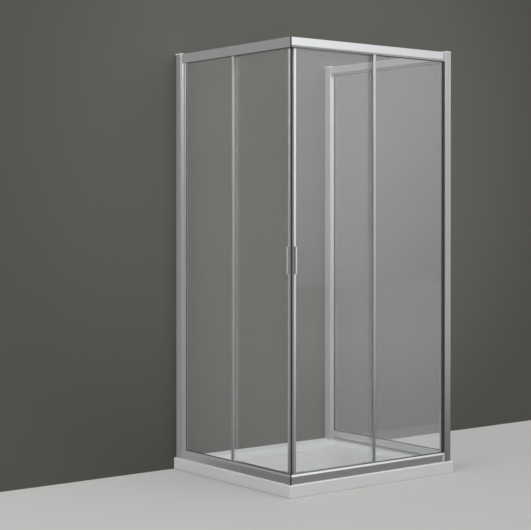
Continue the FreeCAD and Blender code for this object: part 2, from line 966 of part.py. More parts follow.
def guide_shoe(s):
    # Stem in the housing, an arm under the guide lip, and a thumb tab.
    low = bottom_bar_low
    stem_top = low + guide_height - profile_wall - shoe_side_gap
    arm_top = guide_low - shoe_roof
    arm_low = arm_top - shoe_arm
    stem_from = bar_in + profile_wall + shoe_side_gap / 3
    stem_to = stem_from + shoe_thick
    half = shoe_width / 2 - shoe_side_gap
    arm_from = bead_out - shoe_reach
    body = block(s - half, s + half, stem_from, stem_to, arm_low, stem_top)
    arm = along([
        (arm_from, arm_low, groove_depth), (stem_to, arm_low, groove_depth),
        (stem_to, arm_top, 0), (bead_in + running_gap, arm_top, 0),
        (bead_in + running_gap, guide_bead - running_gap, 0),
        (bead_out - running_gap, guide_bead - running_gap, 0),
        (bead_out - running_gap, arm_top, 0), (arm_from, arm_top, groove_depth),
    ], s - half, s + half)
    tab_low = stem_top - button_height - profile_wall
    tab_half = button_width / 2
    tab_view = box_points(s - tab_half, s + tab_half, tab_low, tab_low + button_height, groove_depth)
    tab = across(tab_view, stem_to - groove_depth, stem_to + button_reach)
    return fuse([body, arm, tab])


def door(name, place, width):
    lead = lead_start
    trail = lead + width
    low = bottom_bar_low
    high = top_base + bar_top
    screws = []

    lead_plan = [
        (lead, stile_out, edge_round), (lead + stile_width, stile_out, small_round),
        (lead + stile_width, door_out, 0), (lead + stile_web, door_out, 0),
        (lead + stile_web, door_in, 0), (lead + stile_width, door_in, 0),
        (lead + stile_width, stile_in, small_round), (lead, stile_in, edge_round),
    ]
    middle = (stile_out + stile_in) / 2
    tongue = stile_web / 2
    groove = block(lead - overrun, lead + tongue, middle - tongue, middle + tongue,
                   low - overrun, high + overrun)
    lead_stile = upright(lead_plan, low, high).cut(groove)

    bar_from = lead + stile_width
    bar_to = trail
    top_low = top_base - bar_drop
    glass_top = high - profile_wall
    glass_bottom = low + profile_wall
    top_bar = along([
        (bar_out, top_low, small_round), (door_out, top_low, 0), (door_out, glass_top, 0),
        (door_in, glass_top, 0), (door_in, top_low, 0), (bar_in, top_low, small_round),
        (bar_in, high, small_round), (bar_out, high, small_round),
    ], bar_from, bar_to)
    bottom_bar = along([
        (bar_out, bottom_bar_top, small_round), (door_out, bottom_bar_top, 0), (door_out, glass_bottom, 0),
        (door_in, glass_bottom, 0), (door_in, bottom_bar_top, 0), (bar_in, bottom_bar_top, small_round),
        (bar_in, low, small_round), (bar_out, low, small_round),
    ], bar_from, bar_to)
    glass_end = trail - clear_seal
    glass = block(lead + stile_web, glass_end, door_out, door_in, glass_bottom, glass_top)

    seal_out = stile_out + handle_inset
    seal_in = stile_in - handle_inset
    key = tongue - screw_clear
    seal = [
        (lead, seal_out, 0), (seal_out + magnet_gap, seal_out, small_round),
        (seal_in + magnet_gap, seal_in, small_round / 2), (lead, seal_in, 0),
        (lead, middle + key, 0), (lead + key, middle + key, 0),
        (lead + key, middle - key, 0), (lead, middle - key, 0),
    ]
    magnetic_seal = upright(seal, low, high)
    clear_plan = [
        (trail - clear_seal_width, door_out - clear_seal, small_round),
        (trail, door_out - clear_seal, clear_seal / 2),
        (trail, door_in + clear_seal, clear_seal / 2),
        (trail - clear_seal_leg, door_in + clear_seal, small_round),
        (trail - clear_seal_leg, door_in, 0),
        (glass_end, door_in, 0),
        (glass_end, door_out, 0),
        (trail - clear_seal_width, door_out, 0),
    ]
    clear_edge_seal = upright(clear_plan, bottom_bar_top, top_low)

    brackets = []
    housings = []
    for index, s in enumerate((lead + hanger_inset, trail - hanger_inset)):
        brackets.append(hanger(s))
        screws.append(axle(s))
        z = (top_low + high) / 2
        for step in (-1, 1):
            at = s + step * hanger_screw_pitch / 2
            depth = hanger_plate + profile_wall - running_gap
            screws.append(screw_in(at, z, hanger_in, depth, small_screw, small_head, small_head_height))
            hole = rod(at, z, door_in, hanger_in + overrun, small_screw + screw_clear)
            brackets[-1] = brackets[-1].cut(hole)
            top_bar = top_bar.cut(hole)
        housing = guide_housing(s)
        z = (low + bottom_bar_top) / 2
        face = bar_in + guide_depth
        for step in (-1, 1):
            at = s + step * guide_screw_pitch / 2
            depth = guide_depth + profile_wall - running_gap
            screws.append(screw_in(at, z, face, depth, guide_screw, guide_screw * 2, small_head_height))
            hole = rod(at, z, door_in, face + overrun, guide_screw + screw_clear)
            housing = housing.cut(hole)
            bottom_bar = bottom_bar.cut(hole)
        housings.append(housing)
        number = ("lead", "trail")[index]
        keep(name + "_wheel_" + number, place(wheel(s)))
        keep(name + "_guide_shoe_" + number, place(guide_shoe(s)))

    outer, inner = handle_pair()
    screw_s = lead + stile_width * 3 / 4
    for step in (-1, 1):
        z = handle_centre + step * (handle_length / 2 - handle_screw_inset)
        depth = handle_foot + stile_wall - running_gap
        face = stile_out - handle_foot
        shank = rod(screw_s, z, face, face + depth, guide_screw)
        head = rod(screw_s, z, face - guide_screw, face, guide_screw * 5 / 3)
        screws.append(fuse([shank, head]))
        hole = rod(screw_s, z, face - overrun, door_out, guide_screw + screw_clear)
        outer = outer.cut(hole)
        lead_stile = lead_stile.cut(hole)
        face = stile_in + handle_foot
        grip_s = lead + stile_width * 3 / 10
        screws.append(screw_in(grip_s, z, face, depth, guide_screw, guide_screw * 5 / 3, guide_screw))
        hole = rod(grip_s, z, door_in, face + overrun, guide_screw + screw_clear)
        inner = inner.cut(hole)
        lead_stile = lead_stile.cut(hole)

    keep(name + "_glass", place(glass))
    keep(name + "_lead_stile", place(lead_stile))
    keep(name + "_bars", [place(top_bar), place(bottom_bar)])
    keep(name + "_magnetic_seal", place(magnetic_seal))
    keep(name + "_trailing_seal", place(clear_edge_seal))
    keep(name + "_handles", [place(outer), place(inner)])
    keep(name + "_hangers", [place(shape) for shape in brackets])
    keep(name + "_guide_housings", [place(shape) for shape in housings])
    keep(name + "_screws", [place(shape) for shape in screws])
    return trail


def door_travel(trail, edge, rail_end):
    # A door stops before its handle meets the fixed edge, and before its end meets the end block.
    handle_limit = edge - (lead_start + stile_width + handle_room)
    end_limit = rail_end - open_room - trail
    return min(handle_limit, end_limit)


def stop_buffers(edges):
    # Rubber blocks above the track that the hangers meet at both ends.
    solids = []
    for place, trail, edge, rail_end in edges:
        travel = door_travel(trail, edge, rail_end)
        half = hanger_width / 2
        closed = lead_start + hanger_inset - half - buffer_gap
        opened = trail - hanger_inset + half + travel + buffer_gap
        roof = top_base + rail_height - profile_wall
        floor = top_base + bead_top + groove_depth
        for start in (closed - buffer_length, opened):
            solids.append(place(across(
                box_points(start, start + buffer_length, floor, roof, groove_depth),
                rib_in, inner_out - profile_wall)))
        print("travel", round(travel, 3))
    keep("stop_buffers", solids)


# Tray and waste

def plan_wire(x0, x1, y0, y1, radius, z):
    return rounded(box_points(x0, x1, y0, y1, radius), lambda x, y: V(x, y, z)).OuterWire


def tray():
    half_x = tray_length / 2
    half_y = tray_depth / 2
    outline = rounded(box_points(-half_x, half_x, -half_y, half_y, tray_corner), lambda x, y: V(x, y, 0))
    body = outline.extrude(V(0, 0, tray_height))
    top_edges = [edge for edge in body.Edges if edge.BoundBox.ZMin > tray_height - fit_gap]
    body = body.makeFillet(tray_top_round, top_edges)
    low_edges = [edge for edge in body.Edges if edge.BoundBox.ZMax < fit_gap]
    body = body.makeFillet(tray_foot_round, low_edges)

    # Basin: an S-shaped bank, then falls to the waste recess.
    bank_shares = [
        (0.0, -0.35), (0.0, 0.0), (0.10, 0.16), (0.28, 0.52),
        (0.52, 0.84), (0.78, 0.96), (1.0, 1.0),
    ]
    bank = basin_drop * 1.6
    wires = []
    for reach, drop in bank_shares:
        inset = reach * bank
        wires.append(plan_wire(-half_x + rim_front + inset, half_x - rim_front - inset,
                               -half_y + rim_front + inset, half_y - rim_wall - inset,
                               basin_corner - inset / 2, tray_height - drop * basin_drop))
    recess_x = cover_length / 2 + cover_gap
    recess_y = cover_width / 2 + cover_gap
    floor_low = tray_height - basin_drop - floor_fall
    wires.append(plan_wire(-recess_x, recess_x, cover_y - recess_y, cover_y + recess_y,
                           cover_corner + cover_gap, floor_low))
    body = body.cut(Part.makeLoft(wires, True, True))

    recess_floor = floor_low - cover_sink - cover_thick - cover_foot
    recess = rounded(box_points(-recess_x, recess_x, cover_y - recess_y, cover_y + recess_y,
                                cover_corner + cover_gap), lambda x, y: V(x, y, recess_floor))
    body = body.cut(recess.extrude(V(0, 0, tray_height)))
    centre = V(0, cover_y, 0)
    seat_low_end = V(0, cover_y, recess_floor - waste_seat_depth)
    body = body.cut(Part.makeCylinder(waste_seat, tray_height, seat_low_end))
    body = body.cut(Part.makeCylinder(waste_hole, tray_height, centre))
    body = body.cut(Part.makeCylinder(waste_pocket, waste_pocket_depth + overrun, V(0, cover_y, -overrun)))

    # Cells under the tray leave ribs and save weight.
    room_x = tray_length - 2 * cell_margin
    room_y = tray_depth - 2 * cell_margin
    cell_x = (room_x - (cell_columns - 1) * cell_rib) / cell_columns
    cell_y = (room_y - (cell_rows - 1) * cell_rib) / cell_rows
    cells = []
    for column in range(cell_columns):
        for row in range(cell_rows):
            x0 = -room_x / 2 + column * (cell_x + cell_rib)
            y0 = -room_y / 2 + row * (cell_y + cell_rib)
            near = V(min(max(0, x0), x0 + cell_x), min(max(cover_y, y0), y0 + cell_y), 0)
            if near.distanceToPoint(centre) > waste_pocket + cell_rib:
                cells.append(Part.makeBox(cell_x, cell_y, cell_depth + overrun, V(x0, y0, -overrun)))
    body = body.cut(Part.makeCompound(cells))
    keep("shower_tray", body)
    return floor_low, recess_floor


def waste(floor_low, recess_floor):
    half_x = cover_length / 2
    half_y = cover_width / 2
    cover_top = floor_low - cover_sink
    plate = rounded(box_points(-half_x, half_x, cover_y - half_y, cover_y + half_y, cover_corner),
                    lambda x, y: V(x, y, cover_top - cover_thick)).extrude(V(0, 0, cover_thick))
    upper = [edge for edge in plate.Edges if edge.BoundBox.ZMin > cover_top - fit_gap]
    plate = plate.makeChamfer(cover_edge, upper)
    feet = [plate]
    for x in (-half_x + cover_foot_inset, 0, half_x - cover_foot_inset):
        for y in (-half_y + cover_foot_inset / 2, half_y - cover_foot_inset / 2):
            feet.append(Part.makeCylinder(cover_foot_radius, cover_foot, V(x, cover_y + y, recess_floor)))
    keep("waste_cover", fuse(feet))

    seat = recess_floor - waste_seat_depth
    tube_out = waste_bore + waste_tube_wall
    centre = V(0, cover_y, 0)
    ring = Part.makeCylinder(waste_flange, waste_gasket, V(0, cover_y, seat))
    keep("waste_gasket", ring.cut(Part.makeCylinder(waste_hole + fit_gap, tray_height, centre)))
    flange_low = seat + waste_gasket
    flange_top = flange_low + waste_flange_thick
    step = waste_foot + waste_socket
    profile = [
        (waste_bore, waste_foot, 0),
        (tube_out, waste_foot, 0),
        (tube_out, flange_low, 0),
        (waste_flange, flange_low, 0),
        (waste_flange, flange_top - groove_depth, 0),
        (waste_flange - groove_depth, flange_top, 0),
        (waste_mouth, flange_top, 0),
        (waste_mouth, step, 0),
        (waste_bore, step, 0),
    ]
    face = rounded(profile, lambda r, z: V(r, cover_y, z))
    parts = [face.revolve(centre, V(0, 0, 1), 360)]
    bar_reach = (waste_mouth + tube_out) / 2
    for index in range(waste_bars):
        bar = Part.makeBox(2 * bar_reach, waste_bar, waste_bar, V(-bar_reach, -waste_bar / 2, step))
        bar.rotate(V(0, 0, 0), V(0, 0, 1), 180 * index / waste_bars)
        bar.translate(centre)
        parts.append(bar)
    keep("waste_body", fuse(parts))
    nut_top = waste_pocket_depth
    nut = [Part.makeCylinder(waste_nut, waste_nut_height, V(0, cover_y, nut_top - waste_nut_height))]
    for index in range(nut_lugs):
        lug = Part.makeBox(waste_nut + nut_lug_reach, nut_lug_width, waste_nut_height,
                           V(0, -nut_lug_width / 2, nut_top - waste_nut_height))
        lug.rotate(V(0, 0, 0), V(0, 0, 1), 360 * index / nut_lugs)
        lug.translate(centre)
        nut.append(lug)
    nut_body = fuse(nut).cut(Part.makeCylinder(tube_out + fit_gap, tray_height, centre))
    keep("waste_nut", nut_body)


def build():
    floor_low, recess_floor = tray()
    waste(floor_low, recess_floor)
    frame_screws = frame_rails()
    corner_connectors()
    end_connectors()

    caps = []
    for name, place, glazed in (("left", to_left, False), ("side", to_side, True)):
        channel, post, cap, post_screws = wall_parts(glazed)
        keep("wall_channel_" + name, place(channel))
        keep("wall_post_" + name, place(post))
        caps.append(place(cap))
        for screw in post_screws:
            frame_screws.append(place(screw))
    keep("glazing_jamb_left", to_left(glazing_jamb()))
    body, corner_cap = corner_post()
    keep("corner_post", to_front(body))
    caps.append(to_front(corner_cap))
    keep("post_caps", caps)
    keep("frame_screws", frame_screws)

    front_trail = door("front_door", to_front, front_door_width)
    left_trail = door("left_door", to_left, left_door_width)
    front_edge = front_trail - door_overlap
    left_edge = left_trail - door_overlap
    fixed_panes(front_edge, left_edge)
    stop_buffers([
        (to_front, front_trail, front_edge, front_rail_end),
        (to_left, left_trail, left_edge, wall_rail_end),
    ])


def export():
    os.makedirs("parts", exist_ok=True)
    for name, shape in nodes.items():
        shape.exportStep("parts/" + name + ".step")
        solids = shape.Solids
        state = "ok" if shape.isValid() and all(solid.Volume > 0 for solid in solids) else "CHECK"
        print(name, len(solids), round(shape.Volume), state)
    print("nodes", len(nodes))


build()
export()
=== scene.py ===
import math
import bmesh
import bpy
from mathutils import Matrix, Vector


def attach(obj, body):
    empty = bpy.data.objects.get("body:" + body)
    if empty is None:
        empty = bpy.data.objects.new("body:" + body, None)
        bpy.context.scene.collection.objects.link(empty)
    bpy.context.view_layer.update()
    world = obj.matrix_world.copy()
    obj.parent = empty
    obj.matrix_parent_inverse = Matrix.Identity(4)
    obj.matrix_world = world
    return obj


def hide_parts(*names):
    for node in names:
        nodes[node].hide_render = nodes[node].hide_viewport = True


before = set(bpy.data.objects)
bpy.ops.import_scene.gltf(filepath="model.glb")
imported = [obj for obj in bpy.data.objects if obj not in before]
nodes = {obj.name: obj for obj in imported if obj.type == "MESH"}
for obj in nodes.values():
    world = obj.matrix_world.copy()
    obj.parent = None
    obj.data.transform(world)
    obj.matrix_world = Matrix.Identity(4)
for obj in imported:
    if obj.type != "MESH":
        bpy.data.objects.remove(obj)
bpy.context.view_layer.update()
print("frame loaded:", len(nodes), "nodes")

# Places along a side, as the solids use them: s from the free corner, u inwards, z above the tray
layout = {
    "cornerX": -0.490,
    "cornerY": -0.440,
    "farX": 0.490,
    "trayTop": 0.055,
    "railTop": 1.945,
}


def place(side, s, u, z):
    up = z + layout["trayTop"]
    if side == "left":
        return Vector((layout["cornerX"] + u, layout["cornerY"] + s, up))
    if side == "side":
        return Vector((layout["farX"] - u, layout["cornerY"] + s, up))
    return Vector((layout["cornerX"] + s, layout["cornerY"] + u, up))


def inwards(side):
    return {"left": Vector((1, 0, 0)), "side": Vector((-1, 0, 0))}.get(side, Vector((0, 1, 0)))


# Node helpers

def newMaterial(name):
    material = bpy.data.materials.new(name)
    material.use_nodes = True
    tree = material.node_tree
    tree.nodes.clear()
    output = tree.nodes.new("ShaderNodeOutputMaterial")
    return material, tree, output


def addNode(tree, kind, **settings):
    node = tree.nodes.new(kind)
    for key, value in settings.items():
        setattr(node, key, value)
    return node


def addRange(tree, start, end, low, high, **settings):
    # Maps start..end to low..high
    node = addNode(tree, "ShaderNodeMapRange", **settings)
    for name, value in (("From Min", start), ("From Max", end), ("To Min", low), ("To Max", high)):
        node.inputs[name].default_value = value
    return node


def addMix(tree, first, second):
    node = addNode(tree, "ShaderNodeMix", data_type="RGBA")
    node.inputs["A"].default_value = first
    node.inputs["B"].default_value = second
    return node


def principled(tree, values):
    shader = tree.nodes.new("ShaderNodeBsdfPrincipled")
    for name, value in values.items():
        shader.inputs[name].default_value = value
    return shader


def groupSockets(tree, inputs, outputs):
    for name, kind, value in inputs:
        socket = tree.interface.new_socket(name, in_out="INPUT", socket_type=kind)
        if value is not None:
            socket.default_value = value
    for name, kind in outputs:
        tree.interface.new_socket(name, in_out="OUTPUT", socket_type=kind)
    return tree.nodes.new("NodeGroupInput"), tree.nodes.new("NodeGroupOutput")


toneNoise = {"driftDetail": 4.0, "grainDetail": 3.0, "grainFrom": 0.35, "grainTo": 0.65}


def toneGroup():
    # Slow tone drift and a fine surface: a mixed colour, a roughness and a height
    tree = bpy.data.node_groups.new("surfaceTone", "ShaderNodeTree")
    start, end = groupSockets(tree, [
        ("Vector", "NodeSocketVector", None),
        ("Tone A", "NodeSocketColor", (0.5, 0.5, 0.5, 1)),
        ("Tone B", "NodeSocketColor", (0.6, 0.6, 0.6, 1)),
        ("Drift Scale", "NodeSocketFloat", 4.0),
        ("Grain Scale", "NodeSocketFloat", 300.0),
        ("Rough Low", "NodeSocketFloat", 0.3),
        ("Rough High", "NodeSocketFloat", 0.4),
    ], [
        ("Color", "NodeSocketColor"),
        ("Roughness", "NodeSocketFloat"),
        ("Height", "NodeSocketFloat"),
    ])
    drift = addNode(tree, "ShaderNodeTexNoise")
    drift.inputs["Detail"].default_value = toneNoise["driftDetail"]
    grain = addNode(tree, "ShaderNodeTexNoise")
    grain.inputs["Detail"].default_value = toneNoise["grainDetail"]
    mix = addNode(tree, "ShaderNodeMix", data_type="RGBA")
    rough = addRange(tree, toneNoise["grainFrom"], toneNoise["grainTo"], 0.0, 1.0)
    links = tree.links
    for noise, scale in ((drift, "Drift Scale"), (grain, "Grain Scale")):
        links.new(start.outputs["Vector"], noise.inputs["Vector"])
        links.new(start.outputs[scale], noise.inputs["Scale"])
    links.new(drift.outputs["Fac"], mix.inputs["Factor"])
    links.new(start.outputs["Tone A"], mix.inputs["A"])
    links.new(start.outputs["Tone B"], mix.inputs["B"])
    links.new(grain.outputs["Fac"], rough.inputs["Value"])
    links.new(start.outputs["Rough Low"], rough.inputs["To Min"])
    links.new(start.outputs["Rough High"], rough.inputs["To Max"])
    links.new(mix.outputs["Result"], end.inputs["Color"])
    links.new(rough.outputs["Result"], end.inputs["Roughness"])
    links.new(grain.outputs["Fac"], end.inputs["Height"])
    return tree


surfaceTone = toneGroup()


def finishMaterial(name, look):
    # One Principled shader driven by the tone group; stretch draws the grain out along an axis
    material, tree, output = newMaterial(name)
    coords = addNode(tree, "ShaderNodeTexCoord")
    mapping = addNode(tree, "ShaderNodeMapping")
    mapping.inputs["Scale"].default_value = look.get("stretch", (1, 1, 1))
    tone = addNode(tree, "ShaderNodeGroup", node_tree=surfaceTone)
    tone.inputs["Tone A"].default_value = (*look["toneA"], 1)
    tone.inputs["Tone B"].default_value = (*look["toneB"], 1)
    tone.inputs["Drift Scale"].default_value = look["drift"]
    tone.inputs["Grain Scale"].default_value = look["grain"]
    tone.inputs["Rough Low"].default_value = look["rough"][0]
    tone.inputs["Rough High"].default_value = look["rough"][1]
    bump = addNode(tree, "ShaderNodeBump")
    bump.inputs["Strength"].default_value = look["bump"]
    bump.inputs["Distance"].default_value = look["bumpDepth"]
    shader = principled(tree, look.get("shader", {}))
    links = tree.links
    links.new(coords.outputs["Object"], mapping.inputs["Vector"])
    links.new(mapping.outputs["Vector"], tone.inputs["Vector"])
    links.new(tone.outputs["Color"], shader.inputs["Base Color"])
    links.new(tone.outputs["Roughness"], shader.inputs["Roughness"])
    links.new(tone.outputs["Height"], bump.inputs["Height"])
    links.new(bump.outputs["Normal"], shader.inputs["Normal"])
    links.new(shader.outputs["BSDF"], output.inputs["Surface"])
    return material


def aluminiumLook(stretch, tone):
    return {
        "toneA": (tone, tone + 0.004, tone + 0.008),
        "toneB": (tone + 0.012, tone + 0.014, tone + 0.016),
        "drift": 6.0, "grain": 420.0, "rough": (0.275, 0.281), "bump": 0.003, "bumpDepth": 0.00002,
        "stretch": stretch, "shader": {"Metallic": 1.0},
    }


# Noise scale along an extrusion and across it, for profiles that lie along X, lie along Y or stand
drawn, across = 0.02, 3
alongX, alongY = (drawn, across, across), (across, drawn, across)
upright = (across, across, drawn)
looks = {
    # Painted light and shade: these aluminium pieces share one anodised finish, toned apart by how
    # light falls on them. The front rails (0.68) are darker than the side rails. The posts, the
    # corner post and the edge profiles are darker still as painted shade, and the wall channels
    # share the edge profiles' tone.
    "aluminiumAlongXShaded": aluminiumLook(alongX, 0.68),
    "aluminiumAlongY": aluminiumLook(alongY, 0.75),
    "aluminiumUpright": aluminiumLook(upright, 0.74),
    "aluminiumPostShaded": aluminiumLook(upright, 0.62),
    "aluminiumCornerShaded": aluminiumLook(upright, 0.50),
    "aluminiumEdgeShaded": aluminiumLook(upright, 0.54),
    "blackRubber": {
        "toneA": (0.018, 0.018, 0.019), "toneB": (0.035, 0.035, 0.036), "drift": 20.0,
        "grain": 500.0, "rough": (0.5, 0.68), "bump": 0.2, "bumpDepth": 0.00005},
    "darkMoulding": {
        "toneA": (0.03, 0.031, 0.033), "toneB": (0.05, 0.051, 0.053), "drift": 15.0,
        "grain": 900.0, "rough": (0.42, 0.55), "bump": 0.25, "bumpDepth": 0.00005},
    "greyMoulding": {
        "toneA": (0.46, 0.46, 0.455), "toneB": (0.52, 0.52, 0.515), "drift": 12.0, "grain": 900.0,
        "rough": (0.4, 0.52), "bump": 0.22, "bumpDepth": 0.00005},
    "guideMoulding": {
        "toneA": (0.56, 0.56, 0.56), "toneB": (0.62, 0.62, 0.62), "drift": 15.0, "grain": 900.0,
        "rough": (0.35, 0.48), "bump": 0.2, "bumpDepth": 0.00005},
    "wheelAcetal": {
        "toneA": (0.78, 0.78, 0.75), "toneB": (0.84, 0.84, 0.81), "drift": 30.0, "grain": 700.0,
        "rough": (0.22, 0.34), "bump": 0.1, "bumpDepth": 0.00004},
    "capMoulding": {
        "toneA": (0.70, 0.70, 0.69), "toneB": (0.76, 0.76, 0.75), "drift": 12.0, "grain": 900.0,
        "rough": (0.36, 0.48), "bump": 0.2, "bumpDepth": 0.00005},
    "screwSteel": {
        "toneA": (0.60, 0.60, 0.59), "toneB": (0.68, 0.68, 0.67), "drift": 60.0, "grain": 1500.0,
        "rough": (0.22, 0.36), "bump": 0.15, "bumpDepth": 0.00003, "shader": {"Metallic": 1.0}},
    "pressedSteel": {
        "toneA": (0.56, 0.56, 0.56), "toneB": (0.64, 0.64, 0.64), "drift": 25.0, "grain": 800.0,
        "rough": (0.28, 0.44), "bump": 0.2, "bumpDepth": 0.00004, "shader": {"Metallic": 1.0}},
    "trayResin": {
        "toneA": (0.60, 0.60, 0.605), "toneB": (0.64, 0.64, 0.64), "drift": 5.0, "grain": 420.0,
        "rough": (0.32, 0.42), "bump": 0.06, "bumpDepth": 0.0001,
        "shader": {"Coat Weight": 0.15, "Coat Roughness": 0.2}},
    "coverResin": {
        "toneA": (0.59, 0.59, 0.595), "toneB": (0.63, 0.63, 0.63), "drift": 9.0, "grain": 420.0,
        "rough": (0.34, 0.44), "bump": 0.06, "bumpDepth": 0.0001,
        "shader": {"Coat Weight": 0.1, "Coat Roughness": 0.25}},
    "wastePlastic": {
        "toneA": (0.62, 0.62, 0.61), "toneB": (0.70, 0.70, 0.69), "drift": 25.0, "grain": 800.0,
        "rough": (0.35, 0.5), "bump": 0.2, "bumpDepth": 0.00005},
}
materials = {name: finishMaterial(name, look) for name, look in looks.items()}

paneGlass = {
    "tint": (0.982, 0.988, 0.984, 1),
    "edgeTint": (0.42, 0.62, 0.55, 1),
    "edgeBelow": 0.5,  # a face turned further than this from the pane's axis is a cut edge
    "smear": 5.0,
    "smearDetail": 5.0,
    "smearFrom": 0.45,
    "smearTo": 0.8,
    "haze": 0.012,
    "shader": {"Transmission Weight": 0.965, "IOR": 1.6, "Roughness": 0.0},
    "shadow": (0.93, 0.95, 0.945, 1),
}


def glassMaterial(name, paneAxis):
    # Clear toughened glass: faint tint on the faces, green on the cut edges, lets lamps through
    material, tree, output = newMaterial(name)
    coords = addNode(tree, "ShaderNodeTexCoord")
    split = addNode(tree, "ShaderNodeSeparateXYZ")
    flat = addNode(tree, "ShaderNodeMath", operation="ABSOLUTE")
    edge = addNode(tree, "ShaderNodeMath", operation="LESS_THAN")
    edge.inputs[1].default_value = paneGlass["edgeBelow"]
    smear = addNode(tree, "ShaderNodeTexNoise")
    smear.inputs["Scale"].default_value = paneGlass["smear"]
    smear.inputs["Detail"].default_value = paneGlass["smearDetail"]
    haze = addRange(tree, paneGlass["smearFrom"], paneGlass["smearTo"], 0.0, paneGlass["haze"])
    tint = addMix(tree, paneGlass["tint"], paneGlass["edgeTint"])
    glass = principled(tree, paneGlass["shader"])
    clear = addNode(tree, "ShaderNodeBsdfTransparent")
    clear.inputs["Color"].default_value = paneGlass["shadow"]
    path = addNode(tree, "ShaderNodeLightPath")
    mix = addNode(tree, "ShaderNodeMixShader")
    links = tree.links
    links.new(coords.outputs["Normal"], split.inputs["Vector"])
    links.new(split.outputs[paneAxis], flat.inputs[0])
    links.new(flat.outputs[0], edge.inputs[0])
    links.new(edge.outputs[0], tint.inputs["Factor"])
    links.new(tint.outputs["Result"], glass.inputs["Base Color"])
    links.new(coords.outputs["Object"], smear.inputs["Vector"])
    links.new(smear.outputs["Fac"], haze.inputs["Value"])
    links.new(haze.outputs["Result"], glass.inputs["Roughness"])
    links.new(path.outputs["Is Shadow Ray"], mix.inputs["Fac"])
    links.new(glass.outputs["BSDF"], mix.inputs[1])
    links.new(clear.outputs["BSDF"], mix.inputs[2])
    links.new(mix.outputs["Shader"], output.inputs["Surface"])
    return material


sealStrip = {
    "toneA": (0.66, 0.68, 0.675, 1),
    "toneB": (0.76, 0.775, 0.77, 1),
    "stretch": (8, 8, 0.2),
    "cloud": 40.0,
    "rough": (0.12, 0.3),
    "alpha": (0.03, 0.08),
    "shader": {"IOR": 1.45},
}


def clearSealMaterial(name):
    # Clear strip that shuts against the fixed pane, a little cloudy along its length
    material, tree, output = newMaterial(name)
    coords = addNode(tree, "ShaderNodeTexCoord")
    mapping = addNode(tree, "ShaderNodeMapping")
    mapping.inputs["Scale"].default_value = sealStrip["stretch"]
    noise = addNode(tree, "ShaderNodeTexNoise")
    noise.inputs["Scale"].default_value = sealStrip["cloud"]
    rough = addRange(tree, 0.0, 1.0, *sealStrip["rough"])
    cloud = addRange(tree, 0.0, 1.0, *sealStrip["alpha"])
    tint = addMix(tree, sealStrip["toneA"], sealStrip["toneB"])
    shader = principled(tree, sealStrip["shader"])
    links = tree.links
    links.new(coords.outputs["Object"], mapping.inputs["Vector"])
    links.new(mapping.outputs["Vector"], noise.inputs["Vector"])
    for target in (rough.inputs["Value"], cloud.inputs["Value"], tint.inputs["Factor"]):
        links.new(noise.outputs["Fac"], target)
    links.new(rough.outputs["Result"], shader.inputs["Roughness"])
    links.new(cloud.outputs["Result"], shader.inputs["Alpha"])
    links.new(tint.outputs["Result"], shader.inputs["Base Color"])
    links.new(shader.outputs["BSDF"], output.inputs["Surface"])
    return material


magnetSeal = {
    "carrier": (0.21, 0.21, 0.212, 1),
    # Painted shade: the near-black tone of the gap between the two seals, fading out off the
    # corner's diagonal
    "gapShade": (0.014, 0.014, 0.015, 1),
    "gapShadeFrom": 0.0040,  # off the corner's diagonal, where the dark strip starts to fade
    "gapShadeTo": 0.0060,
    "grain": 400.0,
    "rough": (0.42, 0.58),
}


def magnetSealMaterial(name):
    # Grey carrier, darkened by painted shade along the gap where the two doors meet on the
    # corner's diagonal
    material, tree, output = newMaterial(name)
    coords = addNode(tree, "ShaderNodeTexCoord")
    split = addNode(tree, "ShaderNodeSeparateXYZ")
    lean = addNode(tree, "ShaderNodeMath", operation="SUBTRACT")
    offset = addNode(tree, "ShaderNodeMath", operation="ADD")
    offset.inputs[1].default_value = layout["cornerY"] - layout["cornerX"]
    away = addNode(tree, "ShaderNodeMath", operation="ABSOLUTE")
    gapShade = addRange(tree, magnetSeal["gapShadeFrom"], magnetSeal["gapShadeTo"], 0.0, 1.0)
    tone = addMix(tree, magnetSeal["gapShade"], magnetSeal["carrier"])
    grain = addNode(tree, "ShaderNodeTexNoise")
    grain.inputs["Scale"].default_value = magnetSeal["grain"]
    rough = addRange(tree, 0.0, 1.0, *magnetSeal["rough"])
    shader = principled(tree, {})
    links = tree.links
    links.new(coords.outputs["Object"], split.inputs["Vector"])
    links.new(coords.outputs["Object"], grain.inputs["Vector"])
    links.new(split.outputs["X"], lean.inputs[0])
    links.new(split.outputs["Y"], lean.inputs[1])
    links.new(lean.outputs[0], offset.inputs[0])
    links.new(offset.outputs[0], away.inputs[0])
    links.new(away.outputs[0], gapShade.inputs["Value"])
    links.new(gapShade.outputs["Result"], tone.inputs["Factor"])
    links.new(tone.outputs["Result"], shader.inputs["Base Color"])
    links.new(grain.outputs["Fac"], rough.inputs["Value"])
    links.new(rough.outputs["Result"], shader.inputs["Roughness"])
    links.new(shader.outputs["BSDF"], output.inputs["Surface"])
    return material


materials["glassAcrossY"] = glassMaterial("glassAcrossY", "Y")
materials["glassAcrossX"] = glassMaterial("glassAcrossX", "X")
materials["clearSeal"] = clearSealMaterial("clearSeal")
materials["magnetSeal"] = magnetSealMaterial("magnetSeal")
print("materials made:", len(materials))

